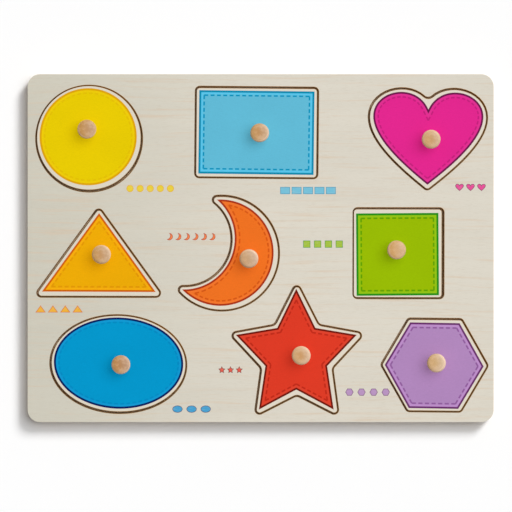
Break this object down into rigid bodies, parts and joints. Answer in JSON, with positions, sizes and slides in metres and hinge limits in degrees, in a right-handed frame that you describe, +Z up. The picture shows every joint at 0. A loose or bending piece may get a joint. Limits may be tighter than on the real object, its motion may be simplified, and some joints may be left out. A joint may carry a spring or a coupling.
{
  "type": "peg puzzle",
  "caption": "Flat wooden board with shaped windows, each holding a loose printed piece that is lifted out by a small turned peg.",
  "frame": {"origin": "middle of the board's underside, on the surface that it lies on", "axes": "+X along the board's length, +Y from the bottom row of shapes to the top row, +Z up out of the board"},
  "size_m": [0.3, 0.224, 0.019],
  "materials": {
    "backing_board": "sanded plain plywood",
    "frame_board": "sanded pale plywood with burnt cut edges",
    "circle_piece": "pale plywood, printed on top, burnt cut edge",
    "rectangle_piece": "pale plywood, printed on top, burnt cut edge",
    "heart_piece": "pale plywood, printed on top, burnt cut edge",
    "triangle_piece": "pale plywood, printed on top, burnt cut edge",
    "crescent_piece": "pale plywood, printed on top, burnt cut edge",
    "square_piece": "pale plywood, printed on top, burnt cut edge",
    "ellipse_piece": "pale plywood, printed on top, burnt cut edge",
    "star_piece": "pale plywood, printed on top, burnt cut edge",
    "hexagon_piece": "pale plywood, printed on top, burnt cut edge",
    "circle_peg": "turned, clear satin lacquer",
    "rectangle_peg": "turned, clear satin lacquer",
    "heart_peg": "turned, clear satin lacquer",
    "triangle_peg": "turned, clear satin lacquer",
    "crescent_peg": "turned, clear satin lacquer",
    "square_peg": "turned, clear satin lacquer",
    "ellipse_peg": "turned, clear satin lacquer",
    "star_peg": "turned, clear satin lacquer",
    "hexagon_peg": "turned, clear satin lacquer",
    "screw": "zinc plated"
  },
  "bodies": {
    "board": {"backing_board": "backing_board", "frame_board": "frame_board"},
    "circle": {"circle_piece": "circle_piece", "circle_peg": "circle_peg", "circle_screw": "screw"},
    "rectangle": {"rectangle_piece": "rectangle_piece", "rectangle_peg": "rectangle_peg", "rectangle_screw": "screw"},
    "heart": {"heart_piece": "heart_piece", "heart_peg": "heart_peg", "heart_screw": "screw"},
    "triangle": {"triangle_piece": "triangle_piece", "triangle_peg": "triangle_peg", "triangle_screw": "screw"},
    "crescent": {"crescent_piece": "crescent_piece", "crescent_peg": "crescent_peg", "crescent_screw": "screw"},
    "square": {"square_piece": "square_piece", "square_peg": "square_peg", "square_screw": "screw"},
    "ellipse": {"ellipse_piece": "ellipse_piece", "ellipse_peg": "ellipse_peg", "ellipse_screw": "screw"},
    "star": {"star_piece": "star_piece", "star_peg": "star_peg", "star_screw": "screw"},
    "hexagon": {"hexagon_piece": "hexagon_piece", "hexagon_peg": "hexagon_peg", "hexagon_screw": "screw"}
  },
  "joints": [
    {"name": "circle_lift", "type": "slide", "parent": "board", "child": "circle", "axis": [0, 0, 1], "range_m": [0, 0.03]},
    {"name": "rectangle_lift", "type": "slide", "parent": "board", "child": "rectangle", "axis": [0, 0, 1], "range_m": [0, 0.03]},
    {"name": "heart_lift", "type": "slide", "parent": "board", "child": "heart", "axis": [0, 0, 1], "range_m": [0, 0.03]},
    {"name": "triangle_lift", "type": "slide", "parent": "board", "child": "triangle", "axis": [0, 0, 1], "range_m": [0, 0.03]},
    {"name": "crescent_lift", "type": "slide", "parent": "board", "child": "crescent", "axis": [0, 0, 1], "range_m": [0, 0.03]},
    {"name": "square_lift", "type": "slide", "parent": "board", "child": "square", "axis": [0, 0, 1], "range_m": [0, 0.03]},
    {"name": "ellipse_lift", "type": "slide", "parent": "board", "child": "ellipse", "axis": [0, 0, 1], "range_m": [0, 0.03]},
    {"name": "star_lift", "type": "slide", "parent": "board", "child": "star", "axis": [0, 0, 1], "range_m": [0, 0.03]},
    {"name": "hexagon_lift", "type": "slide", "parent": "board", "child": "hexagon", "axis": [0, 0, 1], "range_m": [0, 0.03]}
  ]
}
